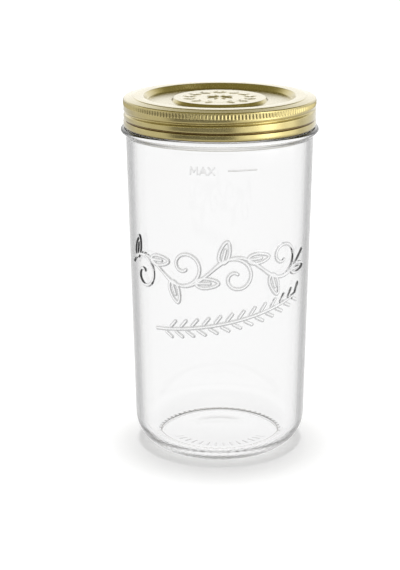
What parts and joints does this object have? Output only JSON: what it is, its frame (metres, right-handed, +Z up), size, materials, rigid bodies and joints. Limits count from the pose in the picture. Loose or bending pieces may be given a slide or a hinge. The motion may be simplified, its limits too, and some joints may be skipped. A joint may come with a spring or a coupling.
{
  "type": "glass storage jar",
  "caption": "Tall clear glass storage jar, slightly tapered, with a threaded neck, a dished metal sealing capsule with a bonded ring, and a gold metal screw lid with a knurled band.",
  "frame": {"origin": "on the jar's axis, in the plane of the ring that it stands on", "axes": "+Z up along the jar's axis to the lid, -Y towards the pictured front, +X to its right"},
  "size_m": [0.1158, 0.1158, 0.2128],
  "materials": {
    "clear_glass": "clear soda-lime container glass, smooth, fire polished",
    "lacquered_capsule": "satin gold lacquer on tinplate",
    "sealing_compound": "soft matt moulded compound",
    "gold_lacquer": "satin gold lacquer on tinplate"
  },
  "bodies": {
    "jar": {"glass_jar": "clear_glass"},
    "capsule": {"sealing_capsule": "lacquered_capsule", "sealing_ring": "sealing_compound"},
    "lid": {"screw_lid": "gold_lacquer"}
  },
  "joints": [
    {"name": "closure_lift", "type": "slide", "parent": "jar", "child": "capsule", "axis": [0, 0, 1], "range_m": [0, 0.044]},
    {"name": "lid_turn", "type": "hinge", "parent": "capsule", "child": "lid", "pos_m": [0, 0, 0.2], "axis": [0, 0, 1], "range_deg": [0, 2880]}
  ],
  "couplings": [
    {"joint": "closure_lift", "follows": "lid_turn", "m_per_rad": 0.00087535}
  ]
}
